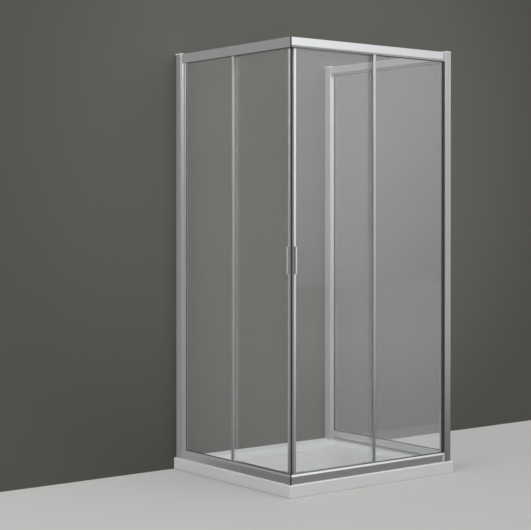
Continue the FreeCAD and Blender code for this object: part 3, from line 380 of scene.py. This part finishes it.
finishes = {
    "shower_tray": "trayResin", "waste_cover": "coverResin", "waste_body": "wastePlastic",
    "waste_nut": "wastePlastic", "waste_gasket": "blackRubber",
    "wall_channel_left": "aluminiumEdgeShaded", "wall_channel_side": "aluminiumEdgeShaded",
    "wall_post_left": "aluminiumPostShaded", "wall_post_side": "aluminiumPostShaded",
    "corner_post": "aluminiumCornerShaded", "post_caps": "capMoulding",
    "top_rail_left": "aluminiumAlongY", "bottom_rail_left": "aluminiumAlongY",
    "top_rail_front": "aluminiumAlongXShaded", "bottom_rail_front": "aluminiumAlongXShaded",
    "top_rail_side": "aluminiumAlongY", "bottom_rail_side": "aluminiumAlongY",
    "corner_connectors": "darkMoulding", "rail_end_connectors": "greyMoulding",
    "frame_screws": "screwSteel", "fixed_glass_left": "glassAcrossX",
    "fixed_glass_front": "glassAcrossY", "side_glass": "glassAcrossX",
    "glazing_gaskets": "blackRubber", "glazing_jamb_left": "aluminiumUpright",
    "fixed_edge_profile_left": "aluminiumEdgeShaded", "fixed_edge_profile_front": "aluminiumEdgeShaded",
    "overlap_seals": "clearSeal", "stop_buffers": "blackRubber",
}
for door, glass, bars in (("left_door", "glassAcrossX", "aluminiumAlongY"),
                          ("front_door", "glassAcrossY", "aluminiumAlongXShaded")):
    finishes.update({
        door + "_glass": glass, door + "_bars": bars,
        door + "_lead_stile": "aluminiumUpright",
        door + "_magnetic_seal": "magnetSeal", door + "_trailing_seal": "clearSeal",
        door + "_handles": "aluminiumUpright", door + "_hangers": "pressedSteel",
        door + "_guide_housings": "guideMoulding", door + "_screws": "screwSteel",
        door + "_wheel_lead": "wheelAcetal", door + "_wheel_trail": "wheelAcetal",
        door + "_guide_shoe_lead": "guideMoulding", door + "_guide_shoe_trail": "guideMoulding",
    })
for name, node in nodes.items():
    node.data.materials.clear()
    node.data.materials.append(materials[finishes[name]])
print("finishes on", len(nodes), "nodes")

# Screws and axles. One node tree makes a pan-head screw with a cross recess at each point
# of a mesh. Lengths in metres
screwKinds = {
    "rail": {
        "Head Radius": 0.0035, "Head Height": 0.0014, "Shank Radius": 0.0019, "Length": 0.008,
        "Recess Span": 0.0038, "Recess Width": 0.0009, "Recess Depth": 0.0009},
    "post": {
        "Head Radius": 0.0035, "Head Height": 0.0020, "Shank Radius": 0.0019, "Length": 0.008,
        "Recess Span": 0.0038, "Recess Width": 0.0009, "Recess Depth": 0.0012},
    "hanger": {
        "Head Radius": 0.0035, "Head Height": 0.0020, "Shank Radius": 0.0019, "Length": 0.0047,
        "Recess Span": 0.0038, "Recess Width": 0.0009, "Recess Depth": 0.0012},
    "guide": {
        "Head Radius": 0.0030, "Head Height": 0.0020, "Shank Radius": 0.0015, "Length": 0.0107,
        "Recess Span": 0.0032, "Recess Width": 0.0008, "Recess Depth": 0.0012},
    "handle": {
        "Head Radius": 0.0025, "Head Height": 0.0015, "Shank Radius": 0.0015, "Length": 0.0052,
        "Recess Span": 0.0027, "Recess Width": 0.0007, "Recess Depth": 0.0009},
    "axle": {
        "Head Radius": 0.0050, "Head Height": 0.0022, "Shank Radius": 0.0030, "Length": 0.0143,
        "Recess Span": 0.0052, "Recess Width": 0.0012, "Recess Depth": 0.0013,
        "Rivet": True, "Rivet Radius": 0.0046, "Rivet Height": 0.0016},
}
crown = {"rings": 5, "curve": 3.0}  # rings up a head, and how late it draws in towards the top


def screwTree():
    tree = bpy.data.node_groups.new("screwSet", "GeometryNodeTree")
    given, end = groupSockets(tree, [
        ("Points", "NodeSocketGeometry", None),
        ("Head Radius", "NodeSocketFloat", 0.0035),
        ("Head Height", "NodeSocketFloat", 0.002),
        ("Crown", "NodeSocketFloat", 0.28),
        ("Shank Radius", "NodeSocketFloat", 0.0019),
        ("Length", "NodeSocketFloat", 0.008),
        ("Recess Span", "NodeSocketFloat", 0.0038),
        ("Recess Width", "NodeSocketFloat", 0.0009),
        ("Recess Depth", "NodeSocketFloat", 0.001),
        ("Rivet", "NodeSocketBool", False),
        ("Rivet Radius", "NodeSocketFloat", 0.0046),
        ("Rivet Height", "NodeSocketFloat", 0.0016),
        ("Sides", "NodeSocketInt", 24),
        ("Seed", "NodeSocketInt", 7),
        ("Metal", "NodeSocketMaterial", None),
    ], [("Geometry", "NodeSocketGeometry")])
    start = given.outputs
    links = tree.links

    def filled(node, *sources):
        # Gives each input of the node a plain value or a link
        for slot, source in enumerate(sources):
            if isinstance(source, (int, float)):
                node.inputs[slot].default_value = source
            else:
                links.new(source, node.inputs[slot])
        return node.outputs[0]

    def mathOf(operation, first, second):
        return filled(addNode(tree, "ShaderNodeMath", operation=operation), first, second)

    def vector(x, y, z):
        return filled(addNode(tree, "ShaderNodeCombineXYZ"), x, y, z)

    def moved(geometry, translation, turn=0.0):
        node = addNode(tree, "GeometryNodeTransform")
        links.new(geometry, node.inputs["Geometry"])
        links.new(translation, node.inputs["Translation"])
        node.inputs["Rotation"].default_value = (0, 0, turn)
        return node.outputs[0]

    # The head: a short drum drawn in towards its top
    head = addNode(tree, "GeometryNodeMeshCone")
    head.inputs["Side Segments"].default_value = crown["rings"]
    links.new(start["Sides"], head.inputs["Vertices"])
    links.new(start["Head Radius"], head.inputs["Radius Top"])
    links.new(start["Head Radius"], head.inputs["Radius Bottom"])
    links.new(start["Head Height"], head.inputs["Depth"])
    at = addNode(tree, "GeometryNodeInputPosition")
    split = addNode(tree, "ShaderNodeSeparateXYZ")
    links.new(at.outputs[0], split.inputs[0])
    height = mathOf("DIVIDE", split.outputs["Z"], start["Head Height"])
    drawnIn = mathOf("MULTIPLY", mathOf("POWER", height, crown["curve"]), start["Crown"])
    width = mathOf("SUBTRACT", 1.0, drawnIn)
    crowned = addNode(tree, "GeometryNodeSetPosition")
    links.new(head.outputs["Mesh"], crowned.inputs["Geometry"])
    crownX = mathOf("MULTIPLY", split.outputs["X"], width)
    crownY = mathOf("MULTIPLY", split.outputs["Y"], width)
    links.new(vector(crownX, crownY, split.outputs["Z"]), crowned.inputs["Position"])

    # The cross recess
    bar = addNode(tree, "GeometryNodeMeshCube")
    barHeight = mathOf("MULTIPLY", start["Recess Depth"], 2.0)
    links.new(vector(start["Recess Span"], start["Recess Width"], barHeight), bar.inputs["Size"])
    top = vector(0.0, 0.0, start["Head Height"])
    cut = addNode(tree, "GeometryNodeMeshBoolean", operation="DIFFERENCE", solver="EXACT")
    links.new(crowned.outputs[0], cut.inputs["Mesh 1"])
    links.new(moved(bar.outputs["Mesh"], top), cut.inputs["Mesh 2"])
    links.new(moved(bar.outputs["Mesh"], top, math.pi / 2), cut.inputs["Mesh 2"])

    # The shank, and the riveted end of an axle
    shank = addNode(tree, "GeometryNodeMeshCylinder")
    links.new(start["Sides"], shank.inputs["Vertices"])
    links.new(start["Shank Radius"], shank.inputs["Radius"])
    links.new(start["Length"], shank.inputs["Depth"])
    shankPlace = vector(0.0, 0.0, mathOf("MULTIPLY", start["Length"], -0.5))
    rivet = addNode(tree, "GeometryNodeMeshCylinder")
    links.new(start["Sides"], rivet.inputs["Vertices"])
    links.new(start["Rivet Radius"], rivet.inputs["Radius"])
    links.new(start["Rivet Height"], rivet.inputs["Depth"])
    rivetDrop = mathOf("ADD", start["Length"], mathOf("MULTIPLY", start["Rivet Height"], 0.5))
    rivetPlace = vector(0.0, 0.0, mathOf("MULTIPLY", rivetDrop, -1.0))
    riveted = addNode(tree, "GeometryNodeSwitch", input_type="GEOMETRY")
    links.new(start["Rivet"], riveted.inputs["Switch"])
    links.new(moved(rivet.outputs["Mesh"], rivetPlace), riveted.inputs["True"])
    whole = addNode(tree, "GeometryNodeJoinGeometry")
    shankMesh = moved(shank.outputs["Mesh"], shankPlace)
    for piece in (cut.outputs["Mesh"], shankMesh, riveted.outputs[0]):
        links.new(piece, whole.inputs[0])

    # One at each point, along the point's axis, each recess at its own angle
    axis = addNode(tree, "GeometryNodeInputNamedAttribute", data_type="FLOAT_VECTOR")
    axis.inputs["Name"].default_value = "axis"
    align = addNode(tree, "FunctionNodeAlignRotationToVector", axis="Z")
    links.new(axis.outputs["Attribute"], align.inputs["Vector"])
    chance = addNode(tree, "FunctionNodeRandomValue", data_type="FLOAT")
    chance.inputs["Max"].default_value = math.tau
    links.new(start["Seed"], chance.inputs["Seed"])
    turn = addNode(tree, "FunctionNodeAxisAngleToRotation")
    turn.inputs["Axis"].default_value = (0, 0, 1)
    links.new(next(out for out in chance.outputs if out.enabled), turn.inputs["Angle"])
    turned = addNode(tree, "FunctionNodeRotateRotation", rotation_space="LOCAL")
    links.new(align.outputs[0], turned.inputs["Rotation"])
    links.new(turn.outputs[0], turned.inputs["Rotate By"])
    spread = addNode(tree, "GeometryNodeInstanceOnPoints")
    links.new(start["Points"], spread.inputs["Points"])
    links.new(whole.outputs[0], spread.inputs["Instance"])
    links.new(turned.outputs[0], spread.inputs["Rotation"])
    solid = addNode(tree, "GeometryNodeRealizeInstances")
    finish = addNode(tree, "GeometryNodeSetMaterial")
    links.new(spread.outputs["Instances"], solid.inputs["Geometry"])
    links.new(solid.outputs[0], finish.inputs["Geometry"])
    links.new(start["Metal"], finish.inputs["Material"])
    links.new(finish.outputs[0], end.inputs[0])
    return tree


screwSet = screwTree()


def screwsOf(kind, places):
    # Each place is a point under the head and the axis out of the head. Gives a plain mesh
    mesh = bpy.data.meshes.new("screwPoints")
    mesh.from_pydata([point for point, way in places], [], [])
    axes = mesh.attributes.new("axis", "FLOAT_VECTOR", "POINT")
    for index, (point, way) in enumerate(places):
        axes.data[index].vector = way
    holder = bpy.data.objects.new("screwPoints", mesh)
    bpy.context.scene.collection.objects.link(holder)
    modifier = holder.modifiers.new("screws", "NODES")
    modifier.node_group = screwSet
    values = dict(screwKinds[kind], Metal=materials["screwSteel"])
    for socket in screwSet.interface.items_tree:
        if socket.item_type == "SOCKET" and socket.in_out == "INPUT" and socket.name in values:
            modifier[socket.identifier] = values[socket.name]
    graph = bpy.context.evaluated_depsgraph_get()
    made = bpy.data.meshes.new_from_object(holder.evaluated_get(graph))
    holder.modifiers.remove(modifier)
    bpy.data.objects.remove(holder)
    return made


def addScrews(name, body, replaced, sets):
    together = bmesh.new()
    for kind, places in sets:
        together.from_mesh(screwsOf(kind, places))
    mesh = bpy.data.meshes.new(name)
    together.to_mesh(mesh)
    together.free()
    for attribute in [item for item in mesh.attributes if item.name == "axis"]:
        mesh.attributes.remove(attribute)
    mesh.materials.append(materials["screwSteel"])
    piece = bpy.data.objects.new(name, mesh)
    bpy.context.scene.collection.objects.link(piece)
    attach(piece, body)
    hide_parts(replaced)
    print(name, "made:", len(mesh.polygons), "faces")


up = Vector((0, 0, 1))
railTop = layout["railTop"]
frameScrews = {
    "rail": [("left", 0.033), ("left", 0.830), ("front", 0.033), ("front", 0.919),
             ("side", 0.061), ("side", 0.830)],
    "railU": 0.008,
    "postS": 0.868,
    "postU": 0.040,
    "postZ": (0.250, 0.9725, 1.695),
}
addScrews("frameScrews", "frame", "frame_screws", [
    ("rail", [(place(side, s, frameScrews["railU"], railTop), up)
              for side, s in frameScrews["rail"]]),
    ("post", [(place(side, frameScrews["postS"], frameScrews["postU"], z), inwards(side))
              for side in ("left", "side") for z in frameScrews["postZ"]]),
])
doorScrews = {
    "wheelS": {"left": (0.084, 0.3835), "front": (0.084, 0.444)},
    "hanger": {"u": 0.033, "axleZ": 1.9298, "z": 1.905, "step": 0.009},
    "guide": {"u": 0.039, "z": 0.040, "step": 0.0125},
    "handle": {"s": 0.043, "u": 0.0175},
    "grip": {"s": 0.0376, "u": 0.0335},
    "handleZ": (0.930, 1.022),
}
for side in ("left", "front"):
    spots, way, body = doorScrews["wheelS"][side], inwards(side), side + "_door"
    hanger, guide = doorScrews["hanger"], doorScrews["guide"]
    handle, grip = doorScrews["handle"], doorScrews["grip"]
    addScrews(side + "DoorScrews", body, body + "_screws", [
        ("axle", [(place(side, s, hanger["u"], hanger["axleZ"]), way) for s in spots]),
        ("hanger", [(place(side, s + step, hanger["u"], hanger["z"]), way)
                    for s in spots for step in (-hanger["step"], hanger["step"])]),
        ("guide", [(place(side, s + step, guide["u"], guide["z"]), way)
                   for s in spots for step in (-guide["step"], guide["step"])]),
        ("handle", [(place(side, handle["s"], handle["u"], z), -way)
                    for z in doorScrews["handleZ"]]
         + [(place(side, grip["s"], grip["u"], z), way) for z in doorScrews["handleZ"]]),
    ])

# Floor and wall of the studio: each has its own tone, and a painted reflection that metal and
# glass mirror in place of the lit tone: a glow that only glossy rays see
studio = {
    "floorTone": (0.47, 0.462, 0.45, 1),
    "floorReflectionGlow": {"near": 0.19, "far": 0.66, "from": 0.8, "to": 8.5},
    "wallTone": (0.119, 0.113, 0.099, 1),
    "wallReflectionGlow": {"near": 0.34, "far": 0.30, "from": 1.0, "to": 9.0},
    # Painted shade on the wall: its colour darkens to this tone between these distances from the
    # centre
    "wallShadeFalloff": {
        "centre": (0.4, 0.452, 1.5), "from": 0.9, "to": 2.0, "tone": (0.0738, 0.070, 0.060, 1)},
    "wallY": 0.452,
    "reach": 14.0,
    "height": 9.0,
    "roughness": 0.75,
}


def stagePlane(name, corners, tone, reflectionGlow, isWall):
    mesh = bpy.data.meshes.new(name)
    mesh.from_pydata(corners, [], [tuple(range(len(corners)))])
    mesh.update()
    plane = bpy.data.objects.new(name, mesh)
    bpy.context.scene.collection.objects.link(plane)
    material, tree, output = newMaterial(name + "Paint")
    shader = principled(tree, {"Base Color": tone, "Roughness": studio["roughness"]})
    coords = addNode(tree, "ShaderNodeTexCoord")
    away = addNode(tree, "ShaderNodeVectorMath", operation="LENGTH")
    fade = addRange(tree, reflectionGlow["from"], reflectionGlow["to"], reflectionGlow["near"], reflectionGlow["far"],
                    interpolation_type="SMOOTHSTEP")
    # Painted reflection: glossy rays see the plane as a glow whose strength changes with distance
    # from the middle
    paintedReflection = addNode(tree, "ShaderNodeEmission")
    path = addNode(tree, "ShaderNodeLightPath")
    reflected = addNode(tree, "ShaderNodeMath", operation="SUBTRACT", use_clamp=True)
    seen = addNode(tree, "ShaderNodeMixShader")
    links = tree.links
    links.new(coords.outputs["Object"], away.inputs[0])
    links.new(away.outputs["Value"], fade.inputs["Value"])
    links.new(fade.outputs["Result"], paintedReflection.inputs["Strength"])
    # What glass lets through counts as glossy too, so transmission is taken off
    links.new(path.outputs["Is Glossy Ray"], reflected.inputs[0])
    links.new(path.outputs["Is Transmission Ray"], reflected.inputs[1])
    links.new(reflected.outputs[0], seen.inputs["Fac"])
    links.new(shader.outputs["BSDF"], seen.inputs[1])
    links.new(paintedReflection.outputs["Emission"], seen.inputs[2])
    if isWall:
        # Painted shade: the wall's colour darkens away from the middle, standing in for light
        # falling off
        fall = studio["wallShadeFalloff"]
        apart = addNode(tree, "ShaderNodeVectorMath", operation="DISTANCE")
        apart.inputs[1].default_value = fall["centre"]
        dimming = addRange(tree, fall["from"], fall["to"], 0.0, 1.0,
                           interpolation_type="SMOOTHSTEP")
        paintedShade = addMix(tree, tone, fall["tone"])
        links.new(coords.outputs["Object"], apart.inputs[0])
        links.new(apart.outputs["Value"], dimming.inputs["Value"])
        links.new(dimming.outputs["Result"], paintedShade.inputs["Factor"])
        links.new(paintedShade.outputs["Result"], shader.inputs["Base Color"])
        # Open from behind, and to light that falls on the enclosure from behind
        geometry = addNode(tree, "ShaderNodeNewGeometry")
        clear = addNode(tree, "ShaderNodeBsdfTransparent")
        mix = addNode(tree, "ShaderNodeMixShader")
        passing = addNode(tree, "ShaderNodeMath", operation="ADD", use_clamp=True)
        unseen = addNode(tree, "ShaderNodeMath", operation="ADD", use_clamp=True)
        links.new(path.outputs["Is Shadow Ray"], passing.inputs[0])
        links.new(path.outputs["Is Diffuse Ray"], passing.inputs[1])
        links.new(geometry.outputs["Backfacing"], unseen.inputs[0])
        links.new(passing.outputs[0], unseen.inputs[1])
        links.new(unseen.outputs[0], mix.inputs["Fac"])
        links.new(seen.outputs["Shader"], mix.inputs[1])
        links.new(clear.outputs["BSDF"], mix.inputs[2])
        links.new(mix.outputs["Shader"], output.inputs["Surface"])
    else:
        links.new(seen.outputs["Shader"], output.inputs["Surface"])
    mesh.materials.append(material)


reach, wallY, wallTop = studio["reach"], studio["wallY"], studio["height"]
stagePlane("floor", [(-reach, -reach, 0), (reach, -reach, 0), (reach, reach, 0),
                     (-reach, reach, 0)],
           studio["floorTone"], studio["floorReflectionGlow"], False)
stagePlane("wall", [(-reach, wallY, 0), (reach, wallY, 0), (reach, wallY, wallTop),
                    (-reach, wallY, wallTop)],
           studio["wallTone"], studio["wallReflectionGlow"], True)

# Soft studio light. Size is metres for an area lamp and radians for the sun
lamps = {
    "keyRight": {
        "kind": "AREA", "at": (3.0, -5.0, 5.6), "aim": (0, 0, 0.8), "size": 3.2, "power": 25},
    "fillLeft": {
        "kind": "AREA", "at": (-5.4, -2.0, 3.4), "aim": (0, 0, 0.9), "size": 3.0, "power": 140},
    "topSoft": {
        "kind": "SUN", "at": (0.6, -2.6, 6.0), "aim": (0, 0, 0), "size": 0.9, "power": 1.0},
}
for name, lamp in lamps.items():
    light = bpy.data.lights.new(name, lamp["kind"])
    light.energy = lamp["power"]
    if lamp["kind"] == "SUN":
        light.angle = lamp["size"]
    else:
        light.size = lamp["size"]
    holder = bpy.data.objects.new(name, light)
    holder.location = lamp["at"]
    shining = Vector(lamp["aim"]) - Vector(lamp["at"])
    holder.rotation_euler = shining.to_track_quat("-Z", "Y").to_euler()
    bpy.context.scene.collection.objects.link(holder)

# The room: an even grey with soft lobes. A bright one to the right of the camera, a paler
# ceiling, dimmer behind the wall, and a paler side beyond the corner post
room = {
    "tone": (0.97, 0.985, 1.0, 1),
    "level": 0.32,
    "lobes": [
        {"towards": (0.4555, -0.8567, 0.2419), "from": 0.90, "to": 0.98, "add": 1.1},
        {"towards": (0.0, 0.0, 1.0), "from": 0.1, "to": 1.0, "add": 0.4},
        {"towards": (0.0, 1.0, 0.0), "from": 0.0, "to": 0.8, "add": -0.22},
        {"towards": (1.0, 0.0, 0.0), "from": 0.88, "to": 1.0, "add": 0.9},
    ],
}
world = bpy.data.worlds.new("studio")
bpy.context.scene.world = world
world.use_nodes = True
roomTree = world.node_tree
background = roomTree.nodes["Background"]
background.inputs["Color"].default_value = room["tone"]
direction = addNode(roomTree, "ShaderNodeTexCoord")
level = None
for lobe in room["lobes"]:
    facing = addNode(roomTree, "ShaderNodeVectorMath", operation="DOT_PRODUCT")
    facing.inputs[1].default_value = lobe["towards"]
    fade = addRange(roomTree, lobe["from"], lobe["to"], 0.0, lobe["add"],
                    interpolation_type="SMOOTHSTEP")
    total = addNode(roomTree, "ShaderNodeMath", operation="ADD")
    total.inputs[1].default_value = room["level"]
    roomTree.links.new(direction.outputs["Generated"], facing.inputs[0])
    roomTree.links.new(facing.outputs["Value"], fade.inputs["Value"])
    roomTree.links.new(fade.outputs["Result"], total.inputs[0])
    if level is not None:
        roomTree.links.new(level.outputs[0], total.inputs[1])
    level = total
roomTree.links.new(level.outputs[0], background.inputs["Strength"])
bpy.context.scene.view_settings.view_transform = "Standard"
print("studio lit")

# Camera at the photograph's station point
view = {
    "at": (-4.2394, -5.0930, 1.2280),
    "turn": -37.8146,
    "tilt": 0.6222,
    "lens": 93.617,
    "sensor": 36.0,
    "shiftY": -0.0658,
    "clipEnd": 60.0,
}
camera = bpy.data.cameras.new("camera")
camera.lens = view["lens"]
camera.sensor_width = view["sensor"]
camera.shift_y = view["shiftY"]
camera.clip_end = view["clipEnd"]
eye = bpy.data.objects.new("camera", camera)
eye.location = view["at"]
eye.rotation_euler = (math.radians(90 - view["tilt"]), 0, math.radians(view["turn"]))
bpy.context.scene.collection.objects.link(eye)
bpy.context.scene.camera = eye
